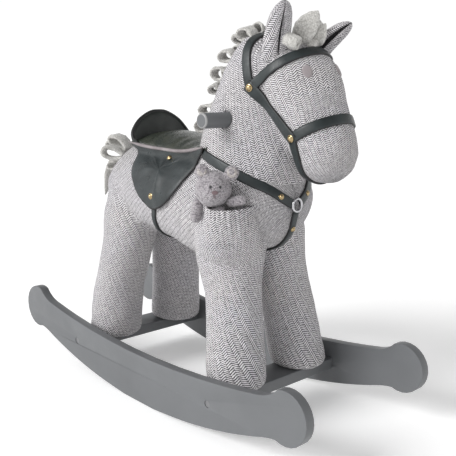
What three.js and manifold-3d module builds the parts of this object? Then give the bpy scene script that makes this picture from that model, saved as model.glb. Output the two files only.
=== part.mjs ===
// Plush rocking horse for a toddler: a stuffed herringbone horse on a wooden frame, standing on
// two curved wooden rockers, with a leather saddle, bridle and breast collar, a wooden hand bar
// through the neck, and a small plush bear that lifts out of a pocket on the right shoulder.
// Millimetres. +X is forward (the horse's nose), +Y is the horse's left side, +Z is up. The origin
// is on the floor, midway along and across the rockers.
import * as THREE from 'three';
import { mergeVertices } from 'three/addons/utils/BufferGeometryUtils.js';
import Module from 'manifold-3d';

const wasm = await Module();
wasm.setup();

// ---- driving dimensions ----
const GAP = 0.3;                  // between pieces that touch
const OVERALL_LENGTH = 700;
const OVERALL_WIDTH = 270;

const ROCKER_THICK = 15;
const ROCKER_DEPTH = 77.5;        // height of a rocker board at its middle
const SOLE_RADIUS = 888;          // curve that rolls on the floor
const TOP_RADIUS = 1570;          // curve of the rocker's upper edge
const RESTING_FLAT = 76;          // flat at the middle of the sole, where the horse stands
const KNOB_RADIUS = 37.5;         // rounded end of a rocker
const KNOB_HEIGHT = 83.2;         // of the knob's centre
const KNOB_TURN = 1.95;           // radians of a full circle round the knob, up and down
const NECK_TO_KNOB = 54;          // where the board starts to narrow, before the knob's centre
const OUTER_Y = OVERALL_WIDTH / 2;
const INNER_Y = OUTER_Y - ROCKER_THICK;

const CROSS_WIDTH = 50;           // cross boards, fore and aft
const CROSS_THICK = 18;
const CROSS_TOP = 61;
const CROSS_X = { front: 158, rear: -174 };
const BOLT_X = { front: 165, rear: -178 };
const BOLT_Z = CROSS_TOP - CROSS_THICK / 2;
const BOLT_RADIUS = 3;
const BOLT_LENGTH = 48;
const BOLT_HEAD_RADIUS = 5;
const BOLT_HEAD = 3.5;
const BOLT_SUNK = 1;              // how far its head lies below the board's face

const POST = 28;                  // square wooden post inside each leg
const POST_LINE = {               // foot and top of a post's centre line
  front: [[154, 62], [116, 45]],
  rear: [[-158, 63], [-139, 47]],
};
const SPINE = { front: 145, rear: -162, halfWidth: 64, bottom: 290, top: 308 };
const NECK_BOARD = { width: 58, thick: 18, foot: [90, 309], head: [152, 522], below: 80 };
const HANDLE = { x: 118, z: 446, radius: 11, length: 216 };

const LEG_FOOT = CROSS_TOP + GAP;
const STRAP = 2.6;                // thickness of the leather
const STUD_RADIUS = 5;
const BRIDLE_WIDTH = 14;
const BRIDLE = {                  // side view: where the bands meet, and what they run towards
  poll: [135, 543], brow: [167, 491], browTop: [217, 544],
  nose: [233, 422], noseTop: [271, 449], jaw: [239, 385],
};
const GIRTH_WIDTH = 11;
const SADDLE = {                  // side view, with the seam between the seat and the flaps
  rear: -114, front: 88, seam: 393, inner: 30,
  flap: [[-96, 400], [-92, 383], [-86, 360], [-66, 338], [-42, 317], [-16, 304], [12, 310], [37, 329],
    [55, 355], [67, 382], [86, 406]],
  studs: { upper: [-10, 378], lower: [-14, 323] },
};
const PIPING_RADIUS = 3.2;        // cord sewn along the seam on each side
const SEAM_LINE = [[-111, 64, 399], [-70, 59, 394], [-33, 58, 393], [7, 60, 393], [44, 65, 397],
  [80, 74, 405]];
const GIRTH = { top: [-10, 303], bottom: [-38, 243] };
const BREAST_STRAP = [[94, 74, 392], [154, 66, 370], [197, 19, 340]];
const BREAST = { width: 14, rear: 90, bottom: 300, apart: 2 };    // apart: from the middle
const BELLY_WIDTH = 11;
const RING = { x: 203, z: 328, radius: 9, wire: 1.8, room: 3 };

const POCKET_RIM = 327;           // height of the pocket's mouth
const POCKET_FLOOR = 268;
const POCKET_WALL = 4;
const BEAR = {                    // sits in the pocket on the right shoulder, facing forward and out
  turn: 0.82, head: [142, -106, 354], skull: [26, 24.5, 26],
  ears: [[135.7, -121.6, 379], [163.7, -91.6, 377.6]], ear: [11, 5.5, 11],
  body: [148, -101, 308], belly: [17, 10, 26],
  arms: {
    right: [[113, -108, 332], [101, -102.5, 308], 8.5],
    left: [[164, -93, 337], [178, -87, 341], 7.5],
  },
};
const MANE = [[22, 428], [26, 440], [38, 470], [53, 500], [74, 526], [100, 553], [118, 572], [128, 582]];
const MANE_RADIUS = 17;
const MANE_BREAKS = [430, 466, 502, 538, 590];
const FORELOCK = { centre: [208, 0, 572], radii: [31, 26, 20] };
const BEYOND = 450;               // past every piece of the horse, from anywhere in it

// Stuffed forms are lists of rings [x, z, lean, height, width, y]: a ring's centre, the direction of
// the centre line in degrees above +X, the ring's half size in the plane of the lean and its half
// size across (along Y).
const TORSO = [
  [-207, 333, 0, 6, 8], [-203, 333, 0, 30, 34], [-188, 330, 0, 54, 62], [-160, 327, 0, 68, 79],
  [-109, 323, 0, 75, 88], [-49, 320, 0, 77, 92], [12, 318, 0, 79, 93], [72, 317, 0, 79, 91],
  [122, 322, 0, 73, 88], [158, 328, 0, 58, 80], [183, 333, 0, 38, 60], [196, 335, 0, 18, 28],
  [199, 335, 0, 4, 6],
];
const NECK = [
  [104, 338, 90, 84, 80], [107, 368, 88, 88, 79], [110, 397, 86, 87, 74], [115, 434, 80, 79, 66],
  [126, 471, 72, 72, 61], [144, 510, 66, 66, 58], [160, 540, 60, 54, 50], [170, 555, 60, 20, 20],
];
const HEAD = [
  [158, 560, -50, 8, 10], [165, 551, -50, 24, 32], [178, 530, -52, 36, 48], [191, 504, -56, 44, 53],
  [208, 476, -60, 46, 53], [228, 445, -63, 45, 49], [248, 415, -63, 45, 46], [261, 392, -60, 40, 42],
  [270, 378, -58, 26, 29], [275, 371, -58, 7, 9],
];
// The foot of a leg is flat and stands on its cross board; the legs splay outwards going down. These
// are the left legs, and the right ones are their mirror image.
const LEGS = {
  front: [
    [155, LEG_FOOT, 90, 38, 38, 67], [155, LEG_FOOT + 6, 90, 45.5, 45.5, 67], [149, 98, 90, 45, 45, 64],
    [141, 142, 92, 43, 43, 60], [131, 190, 94, 42.5, 43, 53], [121, 235, 92, 45, 43, 49],
    [116, 280, 90, 48, 44, 48], [116, 320, 90, 44, 40, 46], [116, 335, 90, 20, 20, 45],
  ],
  rear: [
    [-156, LEG_FOOT, 90, 38, 38, 68], [-156, LEG_FOOT + 6, 90, 45.5, 45.5, 68],
    [-154, 95, 92, 45, 45, 66.5], [-151, 142, 96, 44, 44, 64], [-142, 190, 98, 44, 44, 57],
    [-135, 235, 94, 49, 45, 51], [-130, 280, 90, 52, 45, 48], [-128, 325, 90, 46, 40, 45],
    [-128, 340, 90, 20, 20, 44],
  ],
};
const EARS = {
  right: [[180, 535, 60, 15, 9, -42], [192, 552, 62, 20, 10, -46], [207, 575, 60, 15, 8, -52],
    [222, 596, 55, 5, 3, -58], [225, 600, 55, 1.5, 1, -59]],
  left: [[184, 536, 48, 15, 9, 43], [199, 551, 45, 20, 10, 48], [217, 567, 40, 15, 8, 54],
    [235, 582, 36, 5, 3, 60], [239, 585, 36, 1.5, 1, 61]],
};
const SEAT = [                    // only what stands above the seam is leather
  [-120, 318, 0, 126, 78], [-112, 318, 0, 129, 80], [-102, 318, 0, 126, 83], [-86, 319, 0, 106, 90],
  [-60, 319, 0, 93, 96], [-25, 319, 0, 88, 100], [20, 318, 0, 88, 100], [60, 318, 0, 92, 100],
  [96, 318, 0, 98, 98],
];
const POUCH = [
  [152, 262, 90, 10, 12, -80], [151, 272, 90, 25, 30, -81], [150, 292, 90, 34, 40, -82],
  [150, 312, 90, 36, 42, -82], [150, 350, 90, 36, 42, -82],
];
const TAIL = [
  [-205, 352, 120, 8, 8], [-212, 368, 120, 16, 16], [-228, 384, 150, 19, 19], [-247, 386, 190, 17, 18],
  [-256, 380, 220, 6, 6],
];
const TAIL_FLAP = [
  [-246, 366, -90, 12, 8], [-254, 350, -92, 13, 14], [-262, 325, -98, 10, 13], [-271, 300, -105, 7, 9],
  [-276, 285, -105, 2, 3],
];

// ---- colours ----
const TWEED = new THREE.MeshStandardMaterial({ color: 0xbcb8ba, roughness: 0.95 });
const LEATHER = new THREE.MeshStandardMaterial({ color: 0x3a4346, roughness: 0.45 });
const PAINT = new THREE.MeshStandardMaterial({ color: 0x86888a, roughness: 0.5 });
const TIMBER = new THREE.MeshStandardMaterial({ color: 0xc9a877, roughness: 0.8 });
const STEEL = new THREE.MeshStandardMaterial({ color: 0xc8c8cc, roughness: 0.3, metalness: 1 });
const BRASS = new THREE.MeshStandardMaterial({ color: 0xb08d4a, roughness: 0.35, metalness: 1 });
const FLEECE = new THREE.MeshStandardMaterial({ color: 0xc9c5bf, roughness: 1 });
const BEAR_PLUSH = new THREE.MeshStandardMaterial({ color: 0x8f8a92, roughness: 1 });

// ---- solids ----
function solid(geometry) {
  const plain = geometry.clone();
  plain.deleteAttribute('normal');
  plain.deleteAttribute('uv');
  const welded = mergeVertices(plain, 1e-4);
  return new wasm.Manifold(new wasm.Mesh({
    numProp: 3,
    vertProperties: new Float32Array(welded.attributes.position.array),
    triVerts: new Uint32Array(welded.index.array),
  }));
}

function geometryOf(body) {
  const mesh = body.getMesh();
  const geometry = new THREE.BufferGeometry();
  geometry.setAttribute('position', new THREE.BufferAttribute(mesh.vertProperties, 3));
  geometry.setIndex(new THREE.BufferAttribute(mesh.triVerts, 1));
  geometry.computeVertexNormals();
  return geometry;
}

const cut = (body, ...tools) => tools.reduce((rest, tool) => rest.subtract(tool), body);

// The largest connected piece of a body, without the crumbs that a cut leaves.
function main(body) {
  const pieces = body.decompose();
  return pieces.reduce((best, piece) => (piece.volume() > best.volume() ? piece : best));
}

function box(low, high) {
  const size = high.map((value, i) => value - low[i]);
  const geometry = new THREE.BoxGeometry(...size);
  geometry.translate(...low.map((value, i) => (value + high[i]) / 2));
  return solid(geometry);
}

// Everything from one height to another, and everything on one side from a distance outwards.
const between = (low, high) => box([-BEYOND, -BEYOND, low], [BEYOND, BEYOND, high]);
const outFrom = (y, side) => box([-BEYOND, side > 0 ? y : -BEYOND, 0],
  [BEYOND, side > 0 ? BEYOND : -y, 2 * BEYOND]);

// A cylinder between two points.
function rod(from, to, radius, sides = 20) {
  const start = new THREE.Vector3(...from);
  const along = new THREE.Vector3(...to).sub(start);
  const geometry = new THREE.CylinderGeometry(radius, radius, along.length(), sides);
  geometry.applyQuaternion(new THREE.Quaternion().setFromUnitVectors(
    new THREE.Vector3(0, 1, 0), along.clone().normalize()));
  geometry.translate(...start.addScaledVector(along, 0.5).toArray());
  return solid(geometry);
}

// An ellipsoid, turned about Z.
function ellipsoid(centre, radii, turn = 0, across = 14, down = 10) {
  const geometry = new THREE.SphereGeometry(1, across, down);
  geometry.scale(...radii);
  geometry.rotateZ(turn);
  geometry.translate(...centre);
  return solid(geometry);
}

// A stuffed form: oval rings on a smooth centre line, closed at both ends. grow swells every ring,
// which gives the form's outer layers.
function stuffed(stations, grow = 0, sides = 22, steps = 1) {
  const centres = stations.map(([x, z, , , , y = 0]) => new THREE.Vector3(x, y, z));
  const sizes = stations.map(([, , lean, height, width]) => new THREE.Vector3(lean, height, width));
  const path = new THREE.CatmullRomCurve3(centres);
  const swell = new THREE.CatmullRomCurve3(sizes);
  const rings = (stations.length - 1) * steps;
  const positions = [];
  for (let i = 0; i <= rings; i += 1) {
    const centre = path.getPoint(i / rings);
    const size = swell.getPoint(i / rings);
    const lean = THREE.MathUtils.degToRad(size.x);
    for (let j = 0; j < sides; j += 1) {
      const turn = (2 * Math.PI * j) / sides;
      const up = (size.y + grow) * Math.cos(turn);
      const side = (size.z + grow) * Math.sin(turn);
      positions.push(centre.x - up * Math.sin(lean), centre.y + side, centre.z + up * Math.cos(lean));
    }
  }
  positions.push(...centres[0].toArray(), ...centres.at(-1).toArray());
  const first = positions.length / 3 - 2;
  const last = first + 1;
  const index = [];
  for (let j = 0; j < sides; j += 1) {
    const k = (j + 1) % sides;
    for (let i = 0; i < rings; i += 1) {
      const near = i * sides;
      const far = near + sides;
      index.push(near + j, near + k, far + j, near + k, far + k, far + j);
    }
    index.push(first, k, j, last, rings * sides + j, rings * sides + k);
  }
  const geometry = new THREE.BufferGeometry();
  geometry.setAttribute('position', new THREE.Float32BufferAttribute(positions, 3));
  geometry.setIndex(index);
  const body = solid(geometry);
  return body.volume() > 0 ? body : solid(geometry.setIndex(index.reverse()));
}

// A round cord along points.
function cordOf(points, radius, sides = 8, steps = 14) {
  const curve = new THREE.CatmullRomCurve3(points.map((p) => new THREE.Vector3(...p)));
  const section = Array.from({ length: sides }, (_, i) => {
    const turn = (2 * Math.PI * i) / sides;
    return new THREE.Vector2(radius * Math.cos(turn), radius * Math.sin(turn));
  });
  return solid(new THREE.ExtrudeGeometry(new THREE.Shape(section),
    { steps, extrudePath: curve, bevelEnabled: false }));
}

// A round-ended bar between two points.
function capsule(from, to, radius) {
  const start = new THREE.Vector3(...from);
  const along = new THREE.Vector3(...to).sub(start);
  const geometry = new THREE.CapsuleGeometry(radius, along.length(), 3, 10);
  geometry.applyQuaternion(new THREE.Quaternion().setFromUnitVectors(
    new THREE.Vector3(0, 1, 0), along.clone().normalize()));
  geometry.translate(...start.addScaledVector(along, 0.5).toArray());
  return solid(geometry);
}

// An outline in the XZ plane, drawn through points, as a block from one y to another.
function block(outline, fromY, toY) {
  const shape = new THREE.Shape(outline.map(([x, z]) => new THREE.Vector2(x, z)));
  const depth = Math.abs(toY - fromY);
  const geometry = new THREE.ExtrudeGeometry(shape, { depth, bevelEnabled: false });
  geometry.rotateX(Math.PI / 2);
  geometry.translate(0, Math.max(fromY, toY), 0);
  return solid(geometry);
}

// A flat slab of the given width whose middle plane holds three points.
function slab(a, b, c, width) {
  const [p, q, r] = [a, b, c].map((point) => new THREE.Vector3(...point));
  const normal = new THREE.Vector3().crossVectors(q.clone().sub(p), r.clone().sub(p)).normalize();
  const geometry = new THREE.BoxGeometry(2 * BEYOND, 2 * BEYOND, width);
  geometry.applyQuaternion(new THREE.Quaternion().setFromUnitVectors(
    new THREE.Vector3(0, 0, 1), normal));
  geometry.translate(...p.toArray());
  return solid(geometry);
}

// ---- scene graph ----
const horse = new THREE.Group();
const group = () => {
  const made = new THREE.Group();
  horse.add(made);
  return made;
};
const base = group();
const skeleton = group();
const plush = group();
const tack = group();
const hair = group();
const bear = group();

function add(parent, name, body, material) {
  const mesh = new THREE.Mesh(geometryOf(main(body)), material.clone());
  mesh.name = name;
  parent.add(mesh);
}

const SIDES = { right: -1, left: 1 };
const ENDS = ['front', 'rear'];

// ---- forms of the stuffed body ----
const torso = (grow = 0) => stuffed(TORSO, grow);
const neck = (grow = 0) => stuffed(NECK, grow, 22, 2);
const head = (grow = 0) => stuffed(HEAD, grow);
function leg(end, side, grow = 0) {
  return stuffed(LEGS[end].map(([x, z, lean, height, width, y]) => [x, z, lean, height, width, side * y]),
    grow, 18);
}
const skin = [torso(GAP), neck(GAP), head(GAP)];

// ---- base: rockers, cross boards and their bolts ----
const soleZ = (x) => SOLE_RADIUS - Math.sqrt(SOLE_RADIUS ** 2 - x ** 2);
const topZ = (x) => ROCKER_DEPTH + TOP_RADIUS - Math.sqrt(TOP_RADIUS ** 2 - x ** 2);

// Side view of a rocker: a long curved board whose ends narrow a little before their round knobs.
function rockerShape() {
  const knobX = OVERALL_LENGTH / 2 - KNOB_RADIUS;
  const neckX = knobX - NECK_TO_KNOB;
  const waistX = knobX - NECK_TO_KNOB / 2;
  const half = RESTING_FLAT / 2;
  const facets = 9;
  const shape = new THREE.Shape();
  shape.moveTo(-half, 0);
  shape.lineTo(half, 0);
  for (let i = 1; i <= facets; i += 1) {
    const x = half + ((neckX - half) * i) / facets;
    shape.lineTo(x, soleZ(x));
  }
  const inset = -KNOB_RADIUS * Math.cos(KNOB_TURN);
  const rise = KNOB_RADIUS * Math.sin(KNOB_TURN);
  const low = soleZ(waistX) + 1;
  const high = topZ(waistX) - 1;
  shape.quadraticCurveTo(waistX, low, knobX - inset, KNOB_HEIGHT - rise);
  shape.absarc(knobX, KNOB_HEIGHT, KNOB_RADIUS, -KNOB_TURN, KNOB_TURN, false);
  shape.quadraticCurveTo(waistX, high, neckX, topZ(neckX));
  for (let i = facets; i >= -facets; i -= 1) {
    const x = (neckX * i) / facets;
    shape.lineTo(x, topZ(x));
  }
  shape.quadraticCurveTo(-waistX, high, -knobX + inset, KNOB_HEIGHT + rise);
  shape.absarc(-knobX, KNOB_HEIGHT, KNOB_RADIUS, Math.PI - KNOB_TURN, Math.PI + KNOB_TURN, false);
  shape.quadraticCurveTo(-waistX, low, -neckX, soleZ(neckX));
  for (let i = facets - 1; i >= 1; i -= 1) {
    const x = -half - ((neckX - half) * i) / facets;
    shape.lineTo(x, soleZ(x));
  }
  return shape;
}

function bolt(end, side, grow = 0) {
  const at = (y) => [BOLT_X[end], side * y, BOLT_Z];
  const shank = rod(at(OUTER_Y - BOLT_HEAD), at(OUTER_Y - BOLT_LENGTH - grow), BOLT_RADIUS + grow, 8);
  const face = OUTER_Y - (grow ? -BOLT_SUNK : BOLT_SUNK);
  const cap = rod(at(face), at(OUTER_Y - BOLT_HEAD - grow), BOLT_HEAD_RADIUS + grow, 12);
  return shank.add(cap);
}

function crossBoard(end) {
  const x = CROSS_X[end];
  const half = CROSS_WIDTH / 2;
  const y = INNER_Y - GAP;
  return cut(box([x - half, -y, CROSS_TOP - CROSS_THICK], [x + half, y, CROSS_TOP]),
    bolt(end, 1, GAP), bolt(end, -1, GAP));
}

for (const [name, side] of Object.entries(SIDES)) {
  const board = new THREE.ExtrudeGeometry(rockerShape(),
    { depth: ROCKER_THICK, bevelEnabled: false, curveSegments: 8 });
  board.rotateX(Math.PI / 2);
  board.translate(0, side > 0 ? OUTER_Y : -INNER_Y, 0);
  add(base, `rocker_${name}`, cut(solid(board), ...ENDS.map((end) => bolt(end, side, GAP))), PAINT);
  for (const end of ENDS) add(base, `rocker_bolt_${end}_${name}`, bolt(end, side), STEEL);
}
for (const end of ENDS) add(base, `crossboard_${end}`, crossBoard(end), PAINT);

// ---- wooden frame inside the stuffing ----
function post(end, side, grow = 0) {
  const [[footX, footY], [topX, topY]] = POST_LINE[end];
  const foot = new THREE.Vector3(footX, side * footY, LEG_FOOT);
  const along = new THREE.Vector3(topX, side * topY, SPINE.bottom).sub(foot).normalize();
  const geometry = new THREE.BoxGeometry(POST + 2 * grow, POST + 2 * grow, 2 * BEYOND);
  geometry.applyQuaternion(new THREE.Quaternion().setFromUnitVectors(new THREE.Vector3(0, 0, 1), along));
  geometry.translate(...foot.toArray());
  return solid(geometry).intersect(between(LEG_FOOT - grow, SPINE.bottom - GAP + 2 * grow));
}

function spineBoard(grow = 0) {
  return box([SPINE.rear - grow, -SPINE.halfWidth - grow, SPINE.bottom - grow],
    [SPINE.front + grow, SPINE.halfWidth + grow, SPINE.top + grow]);
}

function neckBoard(grow = 0) {
  const [x0, z0] = NECK_BOARD.foot;
  const [x1, z1] = NECK_BOARD.head;
  const length = Math.hypot(x1 - x0, z1 - z0);
  const geometry = new THREE.BoxGeometry(NECK_BOARD.width + 2 * grow, NECK_BOARD.thick + 2 * grow,
    length + NECK_BOARD.below + 2 * grow);
  geometry.translate(0, 0, (length - NECK_BOARD.below) / 2);
  geometry.rotateY(Math.atan2(x1 - x0, z1 - z0));
  geometry.translate(x0, 0, z0);
  return solid(geometry).intersect(between(SPINE.top + GAP - grow, 2 * BEYOND));
}

const handle = (grow = 0) => {
  const reach = HANDLE.length / 2 + (grow ? HANDLE.radius : 0);
  return rod([HANDLE.x, -reach, HANDLE.z], [HANDLE.x, reach, HANDLE.z], HANDLE.radius + grow, 24);
};

const posts = ENDS.flatMap((end) => Object.values(SIDES).map((side) => post(end, side, GAP)));
for (const end of ENDS) {
  for (const [name, side] of Object.entries(SIDES)) {
    add(skeleton, `leg_post_${end}_${name}`, post(end, side), TIMBER);
  }
}
add(skeleton, 'spine_board', spineBoard(), TIMBER);
add(skeleton, 'neck_board', cut(neckBoard(), handle(GAP)), TIMBER);
add(skeleton, 'handle_bar', handle(), PAINT);

// ---- stuffed body ----
const inside = [...posts, spineBoard(GAP), neckBoard(GAP)];
add(plush, 'torso', cut(torso(), ...inside), TWEED);
add(plush, 'neck', cut(neck(), torso(GAP), head(GAP), handle(GAP), neckBoard(GAP)), TWEED);
add(plush, 'head', cut(head(), neckBoard(GAP)), TWEED);
for (const end of ENDS) {
  for (const [name, side] of Object.entries(SIDES)) {
    add(plush, `leg_${end}_${name}`, cut(leg(end, side), torso(GAP), neck(GAP), ...posts), TWEED);
  }
}
const ear = (name, grow = 0) => stuffed(EARS[name], grow, 10, 2);
for (const name of Object.keys(SIDES)) {
  add(plush, `ear_${name}`, cut(ear(name), head(GAP), neck(GAP)), TWEED);
}

// ---- leather: bands cut from a thin layer over the body ----
const layer = (thick) => torso(GAP + thick).add(neck(GAP + thick)).add(head(GAP + thick));
const leatherLayer = cut(layer(STRAP), ...skin);

// A slab across the horse, in the plane that holds a line of the side view.
const across = (from, to, width) => slab([from[0], 0, from[1]], [to[0], 0, to[1]],
  [from[0], 100, from[1]], width);

// A band of the leather layer in such a plane, and the room that it takes up.
const hoop = (from, to, width) => leatherLayer.intersect(across(from, to, width));
const roomFor = (from, to, width) => layer(STRAP + GAP).intersect(across(from, to, width + 2 * GAP));

// Everything that lies ahead of a point of the side view, along a direction there.
function ahead(at, heading, shift = 0) {
  const [x, z] = [at[0] + heading.x * shift, at[1] + heading.y * shift];
  const geometry = new THREE.BoxGeometry(2 * BEYOND, 2 * BEYOND, 2 * BEYOND);
  geometry.translate(BEYOND, 0, 0);
  geometry.rotateY(-Math.atan2(heading.y, heading.x));
  geometry.translate(x, 0, z);
  return solid(geometry);
}
const heading = (from, to) => new THREE.Vector2(to[0] - from[0], to[1] - from[1]).normalize();
const half = BRIDLE_WIDTH / 2;

// Where a line along Y meets the leather layer from outside, and the surface's outward normal.
const layerMesh = new THREE.Mesh(geometryOf(layer(STRAP)));
layerMesh.material.side = THREE.DoubleSide;
function onSurface(x, z, side, from = 300) {
  const ray = new THREE.Raycaster(new THREE.Vector3(x, side * from, z), new THREE.Vector3(0, -side, 0));
  const { point, face } = ray.intersectObject(layerMesh)[0];
  return { point, normal: face.normal };
}

// A domed brass stud with a short shank behind it, standing on the leather.
function stud(point, normal, radius = STUD_RADIUS) {
  const dome = [[0, 0], [radius, 0], [radius, 0.6], [radius * 0.7, 1.6], [0, 2.2]];
  const geometry = new THREE.LatheGeometry(dome.map(([x, y]) => new THREE.Vector2(x, y)), 10);
  geometry.translate(0, GAP, 0);
  geometry.applyQuaternion(new THREE.Quaternion().setFromUnitVectors(new THREE.Vector3(0, 1, 0), normal));
  geometry.translate(...point.toArray());
  return solid(geometry);
}

const { poll, brow, nose, jaw, browTop, noseTop } = BRIDLE;
const ears = Object.keys(SIDES).map((name) => ear(name, GAP));
const crownRoom = roomFor(brow, poll, BRIDLE_WIDTH);
const browRoom = roomFor(brow, browTop, BRIDLE_WIDTH);
const browband = cut(hoop(brow, browTop, BRIDLE_WIDTH)
  .intersect(ahead(brow, heading(brow, browTop), half + GAP)), crownRoom, ...ears);
const crownpiece = cut(hoop(brow, poll, BRIDLE_WIDTH)
  .intersect(ahead(brow, heading(brow, poll), half + GAP)), ...ears);
const noseband = hoop(nose, noseTop, BRIDLE_WIDTH)
  .intersect(ahead(nose, heading(nose, noseTop), half + GAP));
const chinStrap = cut(hoop(nose, jaw, BRIDLE_WIDTH)
  .intersect(ahead(nose, heading(nose, jaw), half + GAP)), roomFor(nose, noseTop, BRIDLE_WIDTH));
add(tack, 'crownpiece', crownpiece, LEATHER);
add(tack, 'browband', browband, LEATHER);
add(tack, 'noseband', noseband, LEATHER);
add(tack, 'chin_strap', chinStrap, LEATHER);
for (const [name, side] of Object.entries(SIDES)) {
  const cheek = hoop(brow, nose, BRIDLE_WIDTH).intersect(outFrom(0, side))
    .intersect(ahead(brow, heading(brow, nose), -half))
    .intersect(ahead(nose, heading(nose, brow), -half));
  const bands = [
    browRoom.intersect(ahead(brow, heading(brow, browTop), half)),
    crownRoom.intersect(ahead(brow, heading(brow, poll), half)),
    roomFor(nose, noseTop, BRIDLE_WIDTH).intersect(ahead(nose, heading(nose, noseTop), half)),
    roomFor(nose, jaw, BRIDLE_WIDTH).intersect(ahead(nose, heading(nose, jaw), half)),
  ];
  add(tack, `cheek_strap_${name}`, cut(cheek, ...bands), LEATHER);
  for (const [place, at] of Object.entries({ brow, nose })) {
    const { point, normal } = onSurface(...at, side);
    add(tack, `bridle_rivet_${place}_${name}`, stud(point, normal), BRASS);
  }
}

// ---- saddle ----
const saddleLayer = (thick) => torso(GAP + thick).add(neck(GAP + thick));
const underSaddle = [torso(GAP), neck(GAP)];
const seat = (grow = 0) => stuffed(SEAT, grow).intersect(
  box([SADDLE.rear - grow, -BEYOND, SADDLE.seam + GAP - grow], [SADDLE.front + grow, BEYOND, BEYOND]));
add(tack, 'saddle_seat', cut(seat(), ...underSaddle), LEATHER);

const flapOutline = new THREE.CatmullRomCurve3(SADDLE.flap.map(([x, z]) => new THREE.Vector3(x, z, 0)));
const flapPoints = flapOutline.getPoints(20).map(({ x, y }) => [x, y]);
for (const [name, side] of Object.entries(SIDES)) {
  const flap = saddleLayer(STRAP).intersect(block(flapPoints, side * SADDLE.inner, side * BEYOND));
  add(tack, `saddle_flap_${name}`, cut(flap, ...underSaddle, seat(GAP)), LEATHER);
  const piping = cordOf(SEAM_LINE.map(([x, y, z]) => [x, side * y, z]), PIPING_RADIUS);
  add(tack, `saddle_piping_${name}`, cut(piping, saddleLayer(STRAP + GAP), seat(GAP)), LEATHER);
  for (const [place, [x, z]] of Object.entries(SADDLE.studs)) {
    const { point, normal } = onSurface(x, z, side);
    add(tack, `flap_stud_${place}_${name}`, stud(point, normal), BRASS);
  }
}

// ---- girth, breast collar and its ring ----
const girth = hoop(GIRTH.top, GIRTH.bottom, GIRTH_WIDTH).intersect(between(0, GIRTH.top[1]));
add(tack, 'girth_strap', girth, LEATHER);

const ringRoom = rod([BREAST_STRAP[1][0], 0, RING.z], [BEYOND, 0, RING.z], RING.radius + RING.room, 24);
for (const [name, side] of Object.entries(SIDES)) {
  const line = BREAST_STRAP.map(([x, y, z]) => [x, side * y, z]);
  const fore = box([BREAST.rear, -BEYOND, BREAST.bottom], [BEYOND, BEYOND, BEYOND]);
  const strap = leatherLayer.intersect(slab(...line, BREAST.width))
    .intersect(outFrom(BREAST.apart, side)).intersect(fore);
  add(tack, `breast_strap_${name}`, cut(strap, ringRoom), LEATHER);
}
const bellyReach = box([GIRTH.bottom[0] + GIRTH_WIDTH, -BELLY_WIDTH / 2, 0],
  [BEYOND, BELLY_WIDTH / 2, RING.z]);
const frontLegs = Object.values(SIDES).map((side) => leg('front', side, GAP));
const belly = cut(leatherLayer.intersect(bellyReach), ringRoom, ...frontLegs);
add(tack, 'belly_strap', belly, LEATHER);

const ring = new THREE.TorusGeometry(RING.radius, RING.wire, 6, 16);
ring.rotateY(Math.PI / 2);
ring.translate(RING.x, 0, RING.z);
add(tack, 'chest_ring', solid(ring), STEEL);

// ---- pocket on the right shoulder, and the bear in it ----
const pouch = stuffed(POUCH, 0, 16).intersect(between(0, POCKET_RIM));
const hollow = stuffed(POUCH, -POCKET_WALL, 16).intersect(between(POCKET_FLOOR, BEYOND));
add(bear, 'pocket', cut(pouch, hollow, ...skin, leg('front', SIDES.right, GAP)), TWEED);

const skull = (grow = 0) => ellipsoid(BEAR.head, BEAR.skull.map((size) => size + grow), BEAR.turn, 14, 10);
const bearEars = BEAR.ears.map((at) => ellipsoid(at, BEAR.ear, BEAR.turn, 10, 6));
const bearBody = (grow = 0) => ellipsoid(BEAR.body, BEAR.belly.map((size) => size + grow));
add(bear, 'bear_head', bearEars.reduce((whole, piece) => whole.add(piece), skull()), BEAR_PLUSH);
add(bear, 'bear_body', cut(bearBody(), skull(GAP)), BEAR_PLUSH);
for (const [name, [from, to, radius]] of Object.entries(BEAR.arms)) {
  add(bear, `bear_arm_${name}`, cut(capsule(from, to, radius), skull(GAP), bearBody(GAP)), BEAR_PLUSH);
}

// ---- mane, forelock and tail ----
const clearOfHead = (body) => cut(body, ...skin, ...ears, crownRoom, browRoom);
const mane = cordOf(MANE.map(([x, z]) => [x, 0, z]), MANE_RADIUS, 10, 12);
MANE_BREAKS.slice(0, -1).forEach((low, i) => {
  const part = mane.intersect(between(low + GAP, MANE_BREAKS[i + 1]));
  add(hair, `mane_tuft_${i + 1}`, clearOfHead(part), FLEECE);
});
add(hair, 'forelock', clearOfHead(ellipsoid(FORELOCK.centre, FORELOCK.radii)), FLEECE);
add(hair, 'tail_tuft', cut(stuffed(TAIL, 0, 14), torso(GAP)), FLEECE);
add(hair, 'tail_flap', cut(stuffed(TAIL_FLAP, 0, 12), stuffed(TAIL, GAP, 14)), FLEECE);

export default horse;
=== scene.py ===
"""The plush rocking horse's looks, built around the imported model. Lengths are in millimetres until a
mesh is made, and in metres in Blender. +X is forward, +Y is the horse's left side, +Z is up."""
import math

import bmesh
import bpy
import numpy as np
from mathutils import Matrix, Vector, noise
from mathutils.bvhtree import BVHTree


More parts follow.
